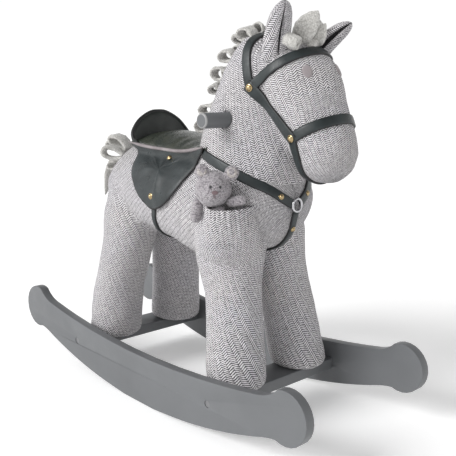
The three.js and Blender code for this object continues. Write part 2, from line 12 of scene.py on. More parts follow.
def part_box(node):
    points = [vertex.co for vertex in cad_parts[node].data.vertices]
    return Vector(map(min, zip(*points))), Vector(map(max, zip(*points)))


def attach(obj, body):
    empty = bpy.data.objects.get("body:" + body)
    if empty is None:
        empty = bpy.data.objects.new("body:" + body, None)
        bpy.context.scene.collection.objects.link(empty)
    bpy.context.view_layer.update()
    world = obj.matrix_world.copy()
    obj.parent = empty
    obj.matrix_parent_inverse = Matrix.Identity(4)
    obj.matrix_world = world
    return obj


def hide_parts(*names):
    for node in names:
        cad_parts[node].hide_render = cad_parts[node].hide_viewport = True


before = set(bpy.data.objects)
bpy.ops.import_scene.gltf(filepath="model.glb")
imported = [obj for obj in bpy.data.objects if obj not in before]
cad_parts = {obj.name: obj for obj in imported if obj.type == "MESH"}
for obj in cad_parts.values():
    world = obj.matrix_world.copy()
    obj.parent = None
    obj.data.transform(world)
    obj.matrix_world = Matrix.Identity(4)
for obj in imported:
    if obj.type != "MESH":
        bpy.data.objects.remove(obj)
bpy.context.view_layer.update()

MM = 0.001
SIDES = {"right": -1, "left": 1}
ENDS = ("front", "rear")

# ---- camera and studio ----
CAMERA_AT = (899.6, -783.9, 505.9)
YAW, PITCH, ROLL = 0.8201, 0.2006, 0.013     # towards +X from -Y, above the floor, about the view
LENS = 58.7
SKY_LOW, SKY_TOP = 1.02, 0.36                # brightness near the horizon and overhead
SUN, SUN_SPREAD, SUN_FROM = 2.6, math.radians(28), (-0.3, -1.0, 0.62)
FLOOR_SIZE, FLOOR_DROP, FLOOR_GLOW = 200, 0.0003, 0.22


def camera():
    data = bpy.data.cameras.new("camera")
    data.lens = LENS
    data.sensor_width = 36.0
    eye = bpy.data.objects.new("camera", data)
    back = Vector((math.sin(YAW) * math.cos(PITCH), -math.cos(YAW) * math.cos(PITCH), math.sin(PITCH)))
    right = Vector((0, 0, 1)).cross(back).normalized()
    up = back.cross(right)
    turned_right = right * math.cos(ROLL) + up * math.sin(ROLL)
    turned_up = up * math.cos(ROLL) - right * math.sin(ROLL)
    eye.matrix_world = Matrix.Translation(Vector(CAMERA_AT) * MM) @ Matrix(
        (turned_right, turned_up, back)).transposed().to_4x4()
    bpy.context.collection.objects.link(eye)
    bpy.context.scene.camera = eye


def studio():
    """A sky that is white near the horizon and greyer overhead, and a wide soft sun."""
    world = bpy.data.worlds.new("studio")
    world.use_nodes = True
    tree = world.node_tree
    place = tree.nodes.new("ShaderNodeTexCoord")
    split = tree.nodes.new("ShaderNodeSeparateXYZ")
    span = tree.nodes.new("ShaderNodeMapRange")
    span.interpolation_type = "SMOOTHSTEP"
    tree.links.new(place.outputs["Generated"], split.inputs[0])
    tree.links.new(split.outputs["Z"], span.inputs["Value"])
    for key, value in zip(("From Min", "From Max", "To Min", "To Max"), (0.2, 0.65, SKY_LOW, SKY_TOP)):
        span.inputs[key].default_value = value
    tree.links.new(span.outputs["Result"], tree.nodes["Background"].inputs["Strength"])
    tree.nodes["Background"].inputs["Color"].default_value = (1, 1, 1, 1)
    bpy.context.scene.world = world
    data = bpy.data.lights.new("sun", "SUN")
    data.energy = SUN
    data.angle = SUN_SPREAD
    lamp = bpy.data.objects.new("sun", data)
    lamp.rotation_euler = Vector(SUN_FROM).to_track_quat("Z", "Y").to_euler()
    bpy.context.collection.objects.link(lamp)
    bpy.context.scene.view_settings.view_transform = "Standard"
    bpy.ops.mesh.primitive_plane_add(size=FLOOR_SIZE, location=(0, 0, -FLOOR_DROP))
    floor = bpy.context.object
    floor.name = "floor"
    g = Graph("floor")
    g.set("Base Color", (0.97, 0.97, 0.97, 1))
    g.set("Roughness", 0.9)
    g.set("Emission Color", (1, 1, 1, 1))
    g.set("Emission Strength", FLOOR_GLOW)
    floor.data.materials.append(g.material)


# ---- shader graphs ----
class Graph:
    """A material whose nodes are made by short calls; a socket or a plain value goes anywhere."""

    def __init__(self, name):
        self.material = bpy.data.materials.new(name)
        self.material.use_nodes = True
        self.tree = self.material.node_tree
        self.shader = self.tree.nodes["Principled BSDF"]

    def put(self, value, socket):
        if isinstance(value, bpy.types.NodeSocket):
            self.tree.links.new(value, socket)
        else:
            socket.default_value = value

    def set(self, name, value):
        self.put(value, self.shader.inputs[name])

    def node(self, kind, inputs=None, **settings):
        made = self.tree.nodes.new(kind)
        for key, value in settings.items():
            setattr(made, key, value)
        for key, value in (inputs or {}).items():
            self.put(value, made.inputs[key])
        return made

    def math(self, operation, a, b=0.0):
        return self.node("ShaderNodeMath", {0: a, 1: b}, operation=operation).outputs[0]

    def span(self, value, low, high, to_low=0.0, to_high=1.0):
        return self.node("ShaderNodeMapRange", {"Value": value, "From Min": low, "From Max": high,
                                                "To Min": to_low, "To Max": to_high}).outputs["Result"]

    def mix(self, factor, a, b):
        made = self.node("ShaderNodeMix", data_type="RGBA")
        self.put(factor, made.inputs[0])
        self.put((*a, 1) if isinstance(a, tuple) else a, made.inputs[6])
        self.put((*b, 1) if isinstance(b, tuple) else b, made.inputs[7])
        return made.outputs[2]

    def place(self):
        return self.node("ShaderNodeTexCoord").outputs["Object"]

    def noise(self, scale, detail=3.0, roughness=0.5):
        return self.node("ShaderNodeTexNoise", {"Vector": self.place(), "Scale": scale, "Detail": detail,
                                                "Roughness": roughness}).outputs["Fac"]

    def cells(self, scale):
        return self.node("ShaderNodeTexVoronoi",
                         {"Vector": self.place(), "Scale": scale}).outputs["Distance"]

    def bump(self, height, distance, strength):
        made = self.node("ShaderNodeBump", {"Height": height, "Distance": distance,
                                            "Strength": strength})
        self.set("Normal", made.outputs["Normal"])


SLANT = 1.4        # how many threads a column's slant crosses
COLUMN = 12.5      # width of two columns of the herringbone, one slanting each way
TICK = 3.2         # from one slanted thread to the next


def tweed(name, light, dark):
    """Herringbone: columns of slanted threads that lean the other way in each half, with a dark
    line between columns. The weave map holds millimetres across and along the cloth."""
    g = Graph(name)
    weave = g.node("ShaderNodeUVMap", uv_map="weave")
    split = g.node("ShaderNodeSeparateXYZ", {0: weave.outputs[0]})
    drift = g.math("MULTIPLY", g.math("SUBTRACT", g.noise(60, 2), 0.5), 1.6)
    across = g.math("DIVIDE", g.math("ADD", split.outputs["X"], drift), COLUMN)
    fold = g.math("MULTIPLY", g.math("ABSOLUTE", g.math("SUBTRACT", g.math("FRACT", across), 0.5)), 2.0)
    along = g.math("ADD", g.math("DIVIDE", split.outputs["Y"], TICK), g.math("MULTIPLY", fold, SLANT))
    thread = g.math("SINE", g.math("MULTIPLY", along, 2 * math.pi))
    from_middle = g.math("ABSOLUTE", g.math("SUBTRACT", fold, 0.5))
    seam = g.span(g.math("ABSOLUTE", g.math("SUBTRACT", from_middle, 0.5)), 0.0, 0.13, 1, 0)
    fleck = g.math("SUBTRACT", g.noise(1100, 2), 0.5)
    blotch = g.math("SUBTRACT", g.noise(260, 2), 0.5)
    pattern = g.math("SUBTRACT", g.math("MULTIPLY", thread, 0.62), g.math("MULTIPLY", seam, 0.55))
    pattern = g.math("ADD", pattern, g.math("MULTIPLY", fleck, 1.5))
    pattern = g.math("ADD", pattern, g.math("MULTIPLY", blotch, 1.3))
    cloth = g.mix(g.span(pattern, -0.42, 0.26), dark, light)
    tinted = g.node("ShaderNodeMix", data_type="RGBA", blend_type="MULTIPLY")
    g.put(1.0, tinted.inputs[0])
    g.put(cloth, tinted.inputs[6])
    g.put(g.mix(g.noise(14, 2), (0.95, 0.95, 1.0), (1.0, 0.985, 0.955)), tinted.inputs[7])
    g.set("Base Color", tinted.outputs[2])
    g.set("Roughness", 0.95)
    g.set("Sheen Weight", 0.15)
    g.set("Sheen Roughness", 0.5)
    g.bump(pattern, 0.001, 0.9)
    return g.material


def leather(name, dark, light, rough):
    g = Graph(name)
    grain = g.cells(1400)
    cloud = g.noise(45, 4)
    g.set("Base Color", g.mix(g.span(cloud, 0.3, 0.7), dark, light))
    g.set("Roughness", g.span(g.noise(60, 3), 0.3, 0.7, rough - 0.07, rough + 0.1))
    g.set("Specular IOR Level", 0.42)
    g.set("Coat Weight", 0.1)
    g.set("Coat Roughness", 0.25)
    g.bump(g.math("ADD", grain, g.math("MULTIPLY", g.noise(220, 3), 0.6)), 0.0004, 0.45)
    return g.material


def paint(name, colour):
    g = Graph(name)
    cloud = g.noise(9, 4)
    deep = tuple(value * 0.93 for value in colour)
    pale = tuple(value * 1.06 for value in colour)
    g.set("Base Color", g.mix(g.span(cloud, 0.35, 0.65), deep, pale))
    g.set("Roughness", g.span(g.noise(30, 3), 0.3, 0.7, 0.37, 0.49))
    g.bump(g.noise(650, 3), 0.0003, 0.35)
    return g.material


def timber(name):
    g = Graph(name)
    stretched = g.node("ShaderNodeMapping", {"Vector": g.place(), "Scale": (60, 60, 4)})
    grain = g.node("ShaderNodeTexNoise", {"Vector": stretched.outputs[0], "Scale": 1.0, "Detail": 5.0})
    g.set("Base Color", g.mix(grain.outputs["Fac"], (0.42, 0.27, 0.13), (0.72, 0.55, 0.33)))
    g.set("Roughness", 0.7)
    g.bump(grain.outputs["Fac"], 0.0004, 0.5)
    return g.material


def metal(name, colour, rough):
    g = Graph(name)
    g.set("Base Color", g.mix(g.noise(300, 3), tuple(value * 0.8 for value in colour), colour))
    g.set("Metallic", 1.0)
    g.set("Roughness", g.span(g.noise(500, 2), 0.3, 0.7, rough, rough + 0.12))
    g.bump(g.noise(700, 2), 0.0001, 0.3)
    return g.material


def felt(name, dark, light, lump=0.0011):
    """Short matted fibres: small cells under fine noise."""
    g = Graph(name)
    fibres = g.noise(700, 5, 0.7)
    tufts = g.cells(420)
    shade = g.math("ADD", fibres, g.math("MULTIPLY", tufts, -0.5))
    g.set("Base Color", g.mix(g.span(shade, 0.05, 0.55), dark, light))
    g.set("Roughness", 1.0)
    g.set("Sheen Weight", 0.4)
    g.set("Sheen Roughness", 0.6)
    g.bump(g.math("ADD", fibres, g.math("MULTIPLY", tufts, -0.8)), lump, 0.8)
    return g.material


STITCH = 0.0011    # from one satin stitch to the next, in metres


def thread(name, dark, light):
    """Satin stitches lying side by side."""
    g = Graph(name)
    split = g.node("ShaderNodeSeparateXYZ", {0: g.place()})
    slant = g.math("ADD", split.outputs["Z"], g.math("MULTIPLY", split.outputs["Y"], 0.4))
    row = g.math("SINE", g.math("MULTIPLY", slant, 2 * math.pi / STITCH))
    g.set("Base Color", g.mix(g.span(row, -1, 1), dark, light))
    g.set("Roughness", 0.6)
    g.set("Sheen Weight", 0.3)
    g.bump(row, 0.0003, 0.6)
    return g.material


camera()
studio()
TWEED = tweed("tweed", (0.93, 0.91, 0.92), (0.075, 0.07, 0.08))
# The tweed of the ears' inside faces, much darker: painted shade inside the fold.
EAR_INSIDE_SHADE = tweed("ear_lining", (0.2, 0.19, 0.2), (0.02, 0.019, 0.02))
LEATHER = leather("leather", (0.009, 0.0135, 0.0145), (0.026, 0.034, 0.036), 0.33)
CANTLE_LEATHER = leather("cantle_leather", (0.008, 0.011, 0.01), (0.02, 0.026, 0.022), 0.42)
SEAT_LEATHER = leather("seat_leather", (0.013, 0.019, 0.014), (0.036, 0.04, 0.028), 0.25)
EDGE = leather("leather_edge", (0.004, 0.004, 0.005), (0.012, 0.012, 0.013), 0.5)
PIPING = leather("piping", (0.19, 0.165, 0.17), (0.3, 0.27, 0.275), 0.5)
PAINT = paint("grey_paint", (0.125, 0.13, 0.136))
# A paler copy of the grey paint, for a painted highlight on the bar's rounded ends.
PAINT_HIGHLIGHT = paint("paint_highlight", (0.3, 0.3, 0.3))
TIMBER = timber("timber")
BRASS = metal("brass", (0.5, 0.38, 0.21), 0.2)
NICKEL = metal("nickel", (0.6, 0.6, 0.62), 0.16)
STEEL = metal("steel", (0.3, 0.3, 0.31), 0.3)
FLEECE = felt("fleece", (0.36, 0.35, 0.33), (0.74, 0.73, 0.7))
PILE = felt("bear_pile", (0.12, 0.108, 0.12), (0.58, 0.54, 0.57), 0.0018)
PILE_PALE = felt("bear_pile_pale", (0.3, 0.27, 0.26), (0.66, 0.62, 0.6), 0.0014)
EYE = thread("eye_thread", (0.2, 0.175, 0.18), (0.42, 0.37, 0.38))
BLACK = thread("black_thread", (0.01, 0.01, 0.012), (0.04, 0.04, 0.045))
BROWN = thread("brown_thread", (0.1, 0.06, 0.07), (0.24, 0.17, 0.18))


# ---- mesh helpers ----
def piece(name, mesh, *materials, body="horse"):
    made = bpy.data.objects.new(name, mesh)
    bpy.context.collection.objects.link(made)
    for material in materials:
        mesh.materials.append(material)
    for face in mesh.polygons:
        face.use_smooth = True
    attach(made, body)
    return made


def lofted(name, rings, wrap=False, edges=()):
    """A mesh through rings of points in millimetres, capped at both ends, or wrapped end to start.
    Faces between ring points named in edges get the second material."""
    rings = np.asarray(rings, dtype=float) * MM
    count, sides = rings.shape[:2]
    points = rings.reshape(-1, 3)
    faces = []
    marks = []
    for i in range(count if wrap else count - 1):
        k = (i + 1) % count
        for j in range(sides):
            n = (j + 1) % sides
            faces.append((i * sides + j, i * sides + n, k * sides + n, k * sides + j))
            marks.append(int(j in edges))
    if not wrap:
        faces.append(tuple(range(sides - 1, -1, -1)))
        faces.append(tuple((count - 1) * sides + j for j in range(sides)))
        marks += [0, 0]
    mesh = bpy.data.meshes.new(name)
    mesh.from_pydata(points.tolist(), [], faces)
    mesh.polygons.foreach_set("material_index", marks)
    whole = bmesh.new()
    whole.from_mesh(mesh)
    bmesh.ops.recalc_face_normals(whole, faces=whole.faces)
    whole.to_mesh(mesh)
    whole.free()
    return mesh


def applied(obj):
    """Makes an object's modifiers part of its mesh."""
    bpy.context.view_layer.update()
    seen = obj.evaluated_get(bpy.context.evaluated_depsgraph_get())
    mesh = bpy.data.meshes.new_from_object(seen)
    obj.modifiers.clear()
    obj.data = mesh


def modified(obj, kind, **settings):
    made = obj.modifiers.new(kind.lower(), kind)
    for key, value in settings.items():
        setattr(made, key, value)


def coated(node, material):
    """Gives a solid of the frame that shows as it is its material."""
    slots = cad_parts[node].data.materials
    slots.clear()
    slots.append(material)


def joined(name, nodes, material, body="horse"):
    """One mesh from the solids of several nodes."""
    whole = bmesh.new()
    for node in nodes:
        whole.from_mesh(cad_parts[node].data)
    mesh = bpy.data.meshes.new(name)
    bmesh.ops.remove_doubles(whole, verts=whole.verts, dist=1e-6)
    whole.to_mesh(mesh)
    whole.free()
    mesh.materials.clear()
    return piece(name, mesh, material, body=body)


def remeshed(obj, voxel, smooth):
    """A soft even surface: small cells over the solids, smoothed, without what is inside."""
    modified(obj, "REMESH", mode="VOXEL", voxel_size=voxel * MM)
    applied(obj)
    whole = bmesh.new()
    whole.from_mesh(obj.data)
    seen = set()
    shells = []
    for start in whole.verts:
        if start in seen:
            continue
        shell = []
        stack = [start]
        seen.add(start)
        while stack:
            vert = stack.pop()
            shell.append(vert)
            for edge in vert.link_edges:
                other = edge.other_vert(vert)
                if other not in seen:
                    seen.add(other)
                    stack.append(other)
        shells.append(shell)
    shells.sort(key=len)
    for shell in shells[:-1]:
        bmesh.ops.delete(whole, geom=shell, context="VERTS")
    whole.to_mesh(obj.data)
    whole.free()
    modified(obj, "SMOOTH", factor=0.5, iterations=smooth)
    applied(obj)
    for face in obj.data.polygons:
        face.use_smooth = True


def nudged(obj, shift):
    """Moves every vertex by what shift gives for its place and normal, in millimetres."""
    places = np.array([v.co[:] for v in obj.data.vertices]) / MM
    normals = np.array([v.normal[:] for v in obj.data.vertices])
    moved = np.array([place + shift(place, normal) for place, normal in zip(places, normals)])
    obj.data.vertices.foreach_set("co", (moved * MM).ravel())
    obj.data.update()


def tree_of(obj):
    mesh = obj.data
    return BVHTree.FromPolygons([v.co for v in mesh.vertices],
                                [tuple(p.vertices) for p in mesh.polygons])


def weave_map(obj, across_along):
    """Writes the weave map: across_along gives, for the face corners' places in millimetres, the
    cloth's two directions in millimetres."""
    mesh = obj.data
    layer = mesh.uv_layers.new(name="weave")
    points = np.array([mesh.vertices[loop.vertex_index].co[:] for loop in mesh.loops]) / MM
    layer.data.foreach_set("uv", np.asarray(across_along(points), dtype=float).ravel())


def turned(u, v, tilt):
    c, s = math.cos(tilt), math.sin(tilt)
    return np.stack([u * c + v * s, v * c - u * s], axis=-1)


def unit(vector):
    vector = np.asarray(vector, dtype=float)
    return vector / np.linalg.norm(vector)


def centre_of(node):
    low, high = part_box(node)
    return (np.array(low) + np.array(high)) / 2 / MM


def smoothed(path, rounds):
    path = np.array(path, dtype=float)
    for _ in range(rounds):
        path[1:-1] = (path[:-2] + 2 * path[1:-1] + path[2:]) / 4
    return path


def along_curve(points, count):
    """Evenly spaced points on a smooth curve through a few."""
    points = np.asarray(points, dtype=float)
    ends = np.vstack([2 * points[0] - points[1], points, 2 * points[-1] - points[-2]])
    fine = []
    for i in range(1, len(ends) - 2):
        a, b, c, d = ends[i - 1:i + 3]
        for t in np.linspace(0, 1, 24, endpoint=False):
            fine.append(0.5 * (2 * b + (c - a) * t + (2 * a - 5 * b + 4 * c - d) * t ** 2
                               + (3 * b - a - 3 * c + d) * t ** 3))
    fine.append(points[-1])
    fine = np.array(fine)
    length = np.concatenate([[0], np.cumsum(np.linalg.norm(np.diff(fine, axis=0), axis=1))])
    wanted = np.linspace(0, length[-1], count)
    return np.stack([np.interp(wanted, length, fine[:, i]) for i in range(fine.shape[1])], axis=1)


def oval(centre, across, up, count):
    """Points round an oval given by its two half axes."""
    turns = np.linspace(0, 2 * np.pi, count, endpoint=False)
    return [centre + math.cos(t) * across + math.sin(t) * up for t in turns]


def patch(centre, normal, across, up, levels, count):
    """Rings of a low rounded patch. Each level is a share of its half axes, and how far it stands
    out along normal."""
    return [oval(centre + normal * rise, share * across, share * up, count) for share, rise in levels]


def cord_rings(path, radius, sides, taper=None):
    """Rings round a path, for a cord of the given radius."""
    path = np.asarray(path, dtype=float)
    tangents = np.gradient(path, axis=0)
    up = np.array([0.05, 0.1, 1.0])
    rings = []
    for i, (point, tangent) in enumerate(zip(path, tangents)):
        tangent = unit(tangent)
        side = unit(np.cross(tangent, up))
        up = np.cross(side, tangent)
        size = radius * (taper[i] if taper is not None else 1)
        rings.append(oval(point, size * side, size * up, sides))
    return rings


# ---- the stuffed body: one cloth cover over the solids ----
COVERED = ("torso", "neck", "head", *(f"leg_{end}_{side}" for end in ENDS for side in SIDES))
NECK_FOOT, NECK_TOP = np.array([104, 0, 338]), np.array([158, 0, 540])
BROW_LINE, MUZZLE = np.array([178, 0, 530]), np.array([268, 0, 382])
RUMP, CHEST = np.array([-207, 0, 320]), np.array([199, 0, 320.5])
LEG_TILT, NECK_TILT, HEAD_TILT, TORSO_TILT = 0.35, 0.5, -0.12, 0.6


def round_axis(points, start, end, radius, rounded=True):
    """Millimetres round an axis in the XZ plane, and along it. On a rounded form the second
    direction also grows inwards, so that it goes on over the ends."""
    along = unit(end - start)
    out = np.array([along[2], 0, -along[0]])
    offset = points - start
    angle = np.arctan2(offset[:, 1], offset @ out)
    reach = np.hypot(offset[:, 1], offset @ out)
    ends = rounded * np.clip((offset @ along - np.linalg.norm(end - start) / 2) / 12, -1, 1)
    return angle * radius, offset @ along + ends * np.maximum(radius - reach, 0)


def part_weave(part, points):
    if part.startswith("leg"):
        centre = centre_of(part)
        angle = np.arctan2(points[:, 1] - centre[1], points[:, 0] - centre[0] + 8)
        return turned(angle * 46, points[:, 2], LEG_TILT)
    if part == "neck":
        return turned(*round_axis(points, NECK_FOOT, NECK_TOP, 70, False), NECK_TILT)
    if part == "head":
        return turned(*round_axis(points, MUZZLE, BROW_LINE, 50), HEAD_TILT)
    return turned(*round_axis(points, RUMP, CHEST, 86), TORSO_TILT)


def cover_weave(obj):
    """Each face takes the cloth directions of the part that it lies on, so a change is a seam."""
    mesh = obj.data
    trees = [tree_of(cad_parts[part]) for part in COVERED]
    owner = np.zeros(len(mesh.polygons), dtype=int)
    for face in mesh.polygons:
        gaps = [tree.find_nearest(face.center)[3] for tree in trees]
        owner[face.index] = int(np.argmin(gaps))
    corner_owner = np.concatenate([np.full(p.loop_total, owner[p.index]) for p in mesh.polygons])

    def across_along(points):
        uv = np.zeros((len(points), 2))
        for k, part in enumerate(COVERED):
            chosen = corner_owner == k
            uv[chosen] = part_weave(part, points[chosen])
        return uv

    weave_map(obj, across_along)


def plump(obj, amount, scale):
    """The small unevenness of hand stuffing."""
    def swell(place, normal):
        at = Vector(place * MM)
        return normal * amount * (noise.noise(at * scale) + 0.5 * noise.noise(at * scale * 2.3))
    nudged(obj, swell)


SWELLINGS = [  # centre, rise and reach
    ((232, 24, 516), 12, 40), ((214, -20, 528), 4, 34), ((252, 20, 470), 4, 34),
    ((-188, -52, 372), -13, 44), ((-188, 52, 372), -13, 44),
    ((62, -50, 250), 15, 52), ((62, 50, 250), 15, 52), ((176, 0, 274), 15, 42)]
COVER_CELL, COVER_SMOOTHING = 4.5, 10


def swollen(place, normal):
    """A fuller forehead, chest and belly, and a slimmer rump."""
    total = sum(rise * math.exp(-(np.linalg.norm(place - centre) / reach) ** 2)
                for centre, rise, reach in SWELLINGS)
    return normal * total


cover = joined("horse_cover", COVERED, TWEED)
remeshed(cover, COVER_CELL, COVER_SMOOTHING)
nudged(cover, swollen)
plump(cover, 1.5, 22)
cover_weave(cover)
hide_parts(*COVERED)
SKIN = tree_of(cover)
SIDE_REACH = 300    # outside the cover on either side
MISS_REACH = 235    # how far along a ray that passes the cover its nearest point is looked for


def hit(origin, direction):
    """Where a ray in millimetres meets the cover: the point and its outward normal."""
    point, normal, _, _ = SKIN.ray_cast(Vector(np.asarray(origin) * MM), Vector(unit(direction)))
    if point is None:
        return settle(np.asarray(origin) + unit(direction) * MISS_REACH)
    return np.array(point) / MM, np.array(normal)


def from_side(x, z, side):
    return hit((x, side * SIDE_REACH, z), (0, -side, 0))


def settle(point):
    """The cover's nearest point, and its normal."""
    near, normal, _, _ = SKIN.find_nearest(Vector(np.asarray(point) * MM))
    return np.array(near) / MM, np.array(normal)


# ---- base and wooden frame ----
def eased(node, name, width):
    """A copy of a wooden solid with its edges rounded over."""
    copy = joined(name, [node], PAINT)
    whole = bmesh.new()
    whole.from_mesh(copy.data)
    bmesh.ops.dissolve_limit(whole, angle_limit=0.02, verts=whole.verts, edges=whole.edges)
    whole.to_mesh(copy.data)
    whole.free()
    modified(copy, "BEVEL", width=width * MM, segments=3, limit_method="ANGLE",
             angle_limit=math.radians(50), harden_normals=True)
    applied(copy)
    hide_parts(node)


for side in SIDES:
    eased(f"rocker_{side}", f"rocker_board_{side}", 3.0)
for end in ENDS:
    eased(f"crossboard_{end}", f"hoof_board_{end}", 1.6)


def hand_bar():
    """The round bar, with its ends rounded over and paler paint on them as a painted highlight."""
    centre = centre_of("handle_bar")
    low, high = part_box("handle_bar")
    half = (high[1] - low[1]) / 2 / MM
    radius = (high[2] - low[2]) / 2 / MM
    profile = [(-half, radius - 5), (-half, radius - 2.2), (-half + 0.7, radius - 0.7),
               (-half + 2.2, radius)]
    stations = profile + [(-y, r) for y, r in reversed(profile)]
    forward, up = np.eye(3)[[0, 2]]
    rings = [oval(np.array([centre[0], y, centre[2]]), r * forward, r * up, 48) for y, r in stations]
    bar = piece("hand_bar", lofted("hand_bar", rings), PAINT, PAINT_HIGHLIGHT)
    # Faces of the rounded ends take the paler paint: a painted highlight.
    for face in bar.data.polygons:
        if abs(face.center.y) > (half - 1.6) * MM and abs(face.normal.y) < 0.98:
            face.material_index = 1
    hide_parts("handle_bar")


hand_bar()
for end in ENDS:
    for side in SIDES:
        coated(f"rocker_bolt_{end}_{side}", STEEL)
        coated(f"leg_post_{end}_{side}", TIMBER)
coated("spine_board", TIMBER)
coated("neck_board", TIMBER)


# ---- leather straps ----
HOOP_REACH = 260     # outside the cover, from anywhere in it
STRAP_THICK = 2.6


def strap_section(width, thick):
    """Ring points across and up: flat below, rounded edges, slightly crowned on top."""
    half = width / 2
    return [(-half + 0.5, -0.6), (-half, 0.2), (-half, thick - 0.9), (-half + 0.9, thick),
            (-half * 0.5, thick + 0.25), (0, thick + 0.35), (half * 0.5, thick + 0.25),
            (half - 0.9, thick), (half, thick - 0.9), (half, 0.2), (half - 0.5, -0.6)]


SECTION_EDGES = (0, 1, 2, 7, 8, 9)


def strap(name, hits, width, node, thick=STRAP_THICK, lift=0.5, rounds=3):
    """A leather strap that lies along points of the cover."""
    path = smoothed([point for point, _ in hits], rounds)
    normals = np.array([unit(n) for n in smoothed([normal for _, normal in hits], rounds + 4)])
    tangents = np.gradient(path, axis=0)
    section = strap_section(width, thick)
    rings = []
    for point, normal, tangent in zip(path, normals, tangents):
        across = unit(np.cross(normal, tangent))
        out = unit(np.cross(tangent, across))
        rings.append([point + a * across + (u + lift) * out for a, u in section])
    made = piece(name, lofted(name, rings, edges=SECTION_EDGES), LEATHER, EDGE)
    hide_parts(node)


def hoop(start, end, inward):
    """Points over the cover in the plane, square to the side view, that holds start and end there:
    from start on the right side to its twin on the left, by way of end. The fan of rays comes from
    a point inward of start."""
    start, end = np.array(start, dtype=float), np.array(end, dtype=float)
    heading = unit(end - start)
    centre = start + heading * inward
    reach = abs(from_side(*start, -1)[0][1])
    limit = math.atan2(reach, -inward)
    hits = []
    for turn in np.linspace(-limit, limit, 44):
        way = np.array([heading[0] * math.cos(turn), math.sin(turn), heading[1] * math.cos(turn)])
        hits.append(hit(np.array([centre[0], 0, centre[1]]) + way * HOOP_REACH, -way))
    return hits


DOME_RISE = 0.55     # of the radius


def dome(name, point, normal, radius, node=None):
    """A domed stud with a thin flange round it."""
    normal = unit(normal)
    side = unit(np.cross(normal, (0.3, 0.2, 1)))
    up = np.cross(normal, side)
    shape = [(1.12, -0.6), (1.18, 0.3), (1.08, 0.7), (0.86, 0.75)]
    shape += [(0.84 * math.cos(t), 0.75 + radius * DOME_RISE * math.sin(t))
              for t in np.linspace(0.1, 1.5, 7)]
    rings = patch(point, normal, radius * side, radius * up, shape, 24)
    made = piece(name, lofted(name, rings), BRASS)
    if node:
        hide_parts(node)


BRIDLE_WIDTH = 14.5
RIVET_RADIUS = 4.6
brow, nose = np.array([160, 492]), np.array([233, 427])      # where the bridle's bands meet
strap("bridle_crown", hoop(brow, (146, 545), 25), BRIDLE_WIDTH, "crownpiece")
strap("bridle_browband", hoop(brow, (217, 533), 20), BRIDLE_WIDTH, "browband", lift=0.8)
strap("bridle_noseband", hoop(nose, (271, 449), 12), BRIDLE_WIDTH, "noseband", lift=0.8)
strap("bridle_chin", hoop(nose, (239, 385), 12), BRIDLE_WIDTH, "chin_strap")
for name, side in SIDES.items():
    line = along_curve([brow - 0.06 * (nose - brow), nose + 0.04 * (nose - brow)], 22)
    hits = [from_side(x, z, side) for x, z in line]
    strap(f"bridle_cheek_{name}", hits, BRIDLE_WIDTH + 3, f"cheek_strap_{name}", lift=1.2)
    for place, at in (("brow", brow), ("nose", nose)):
        point, normal = from_side(*at, side)
        dome(f"rivet_{place}_{name}", point + normal * (STRAP_THICK + 1.6), normal, RIVET_RADIUS,
             node=f"bridle_rivet_{place}_{name}")


# ---- saddle ----
SEAM = [(-112, 64, 399), (-70, 59, 394), (-33, 58, 393), (7, 60, 393), (44, 65, 397), (84, 74, 405)]
FLAP = [(-108, 399), (-96, 383), (-85, 360), (-68, 338), (-46, 319), (-14, 304), (16, 311), (37, 330),
        (52, 354), (66, 380), (84, 405), (44, 397), (7, 393), (-33, 393), (-70, 394)]
FLAP_CLEAR = 388     # above this the body turns inwards under the seat
SEAM_BLEND = 34      # how far below the seam the flap leaves the body to meet it
FLAP_THICK = 2.8
FLAP_MIDDLE = np.array([-15, 362])
STUD_RADIUS = 4.2
STUD_LIFT = {"upper": 1.4, "lower": 2.6}
PIPING_RADIUS = 2.7


def seam_at(x):
    """The seam's distance from the middle, and its height."""
    line = np.array(SEAM)
    return np.interp(x, line[:, 0], line[:, 1]), np.interp(x, line[:, 0], line[:, 2])


def flap_point(x, z, side):
    """A point of the flap's underside: on the cover, and away from it towards the seam above."""
    point, normal = from_side(x, min(z, FLAP_CLEAR), side)
    out, top = seam_at(x)
    share = min(1.0, max(0.0, 1 - (top - z) / SEAM_BLEND))
    share = share * share * (3 - 2 * share)
    target = np.array([x, side * (out - 1.5), z])
    way = unit(normal * (1 - share) + np.array([0, side, 0.25]) * share)
    return point * (1 - share) + target * share, way


def flap(name, side):
    """A flap laid over the cover, with soft folds that spread from the upper stud."""
    outline = along_curve(FLAP + FLAP[:1], 84)[:-1]
    stud = centre_of(f"flap_stud_upper_{name}")[[0, 2]]
    levels = [0.02, 0.2, 0.4, 0.6, 0.75, 0.88, 0.96, 1.0]
    layers = {"under": [], "over": []}
    for level in levels:
        rows = {"under": [], "over": []}
        for corner in outline:
            x, z = FLAP_MIDDLE + (corner - FLAP_MIDDLE) * level
            point, normal = flap_point(x, z, side)
            offset = np.array([x, z]) - stud
            reach = math.hypot(*offset)
            turn = math.atan2(offset[1], offset[0])
            fade = math.exp(-((reach - 34) / 26) ** 2)
            fold = 3.2 * fade * max(0.0, math.cos(turn * 5.0 + 0.9)) ** 3
            drape = 1.0 + 2.5 * (max(0.0, 392 - z) / 90) ** 2
            round_edge = 0.9 if level == 1.0 else 0.0
            rows["under"].append(point + normal * (drape + round_edge))
            rows["over"].append(point + normal * (drape + fold + FLAP_THICK - round_edge))
        for key, row in rows.items():
            layers[key].append(row)
    rings = layers["over"] + layers["under"][::-1]
    made = piece(f"flap_{name}", lofted("flap", rings), LEATHER, EDGE)
    count = len(outline)
    for face in made.data.polygons:
        row = face.index // count
        if row in (len(levels) - 2, len(levels) - 1, len(levels)):
            face.material_index = 1
    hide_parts(f"saddle_flap_{name}")


def tapered(count, steepness, least):
    """Shares of a cord's radius along it: full, and falling to the least at both ends."""
    rise = np.linspace(0, steepness, count)
    return np.clip(np.minimum(rise, rise[::-1]), least, 1)


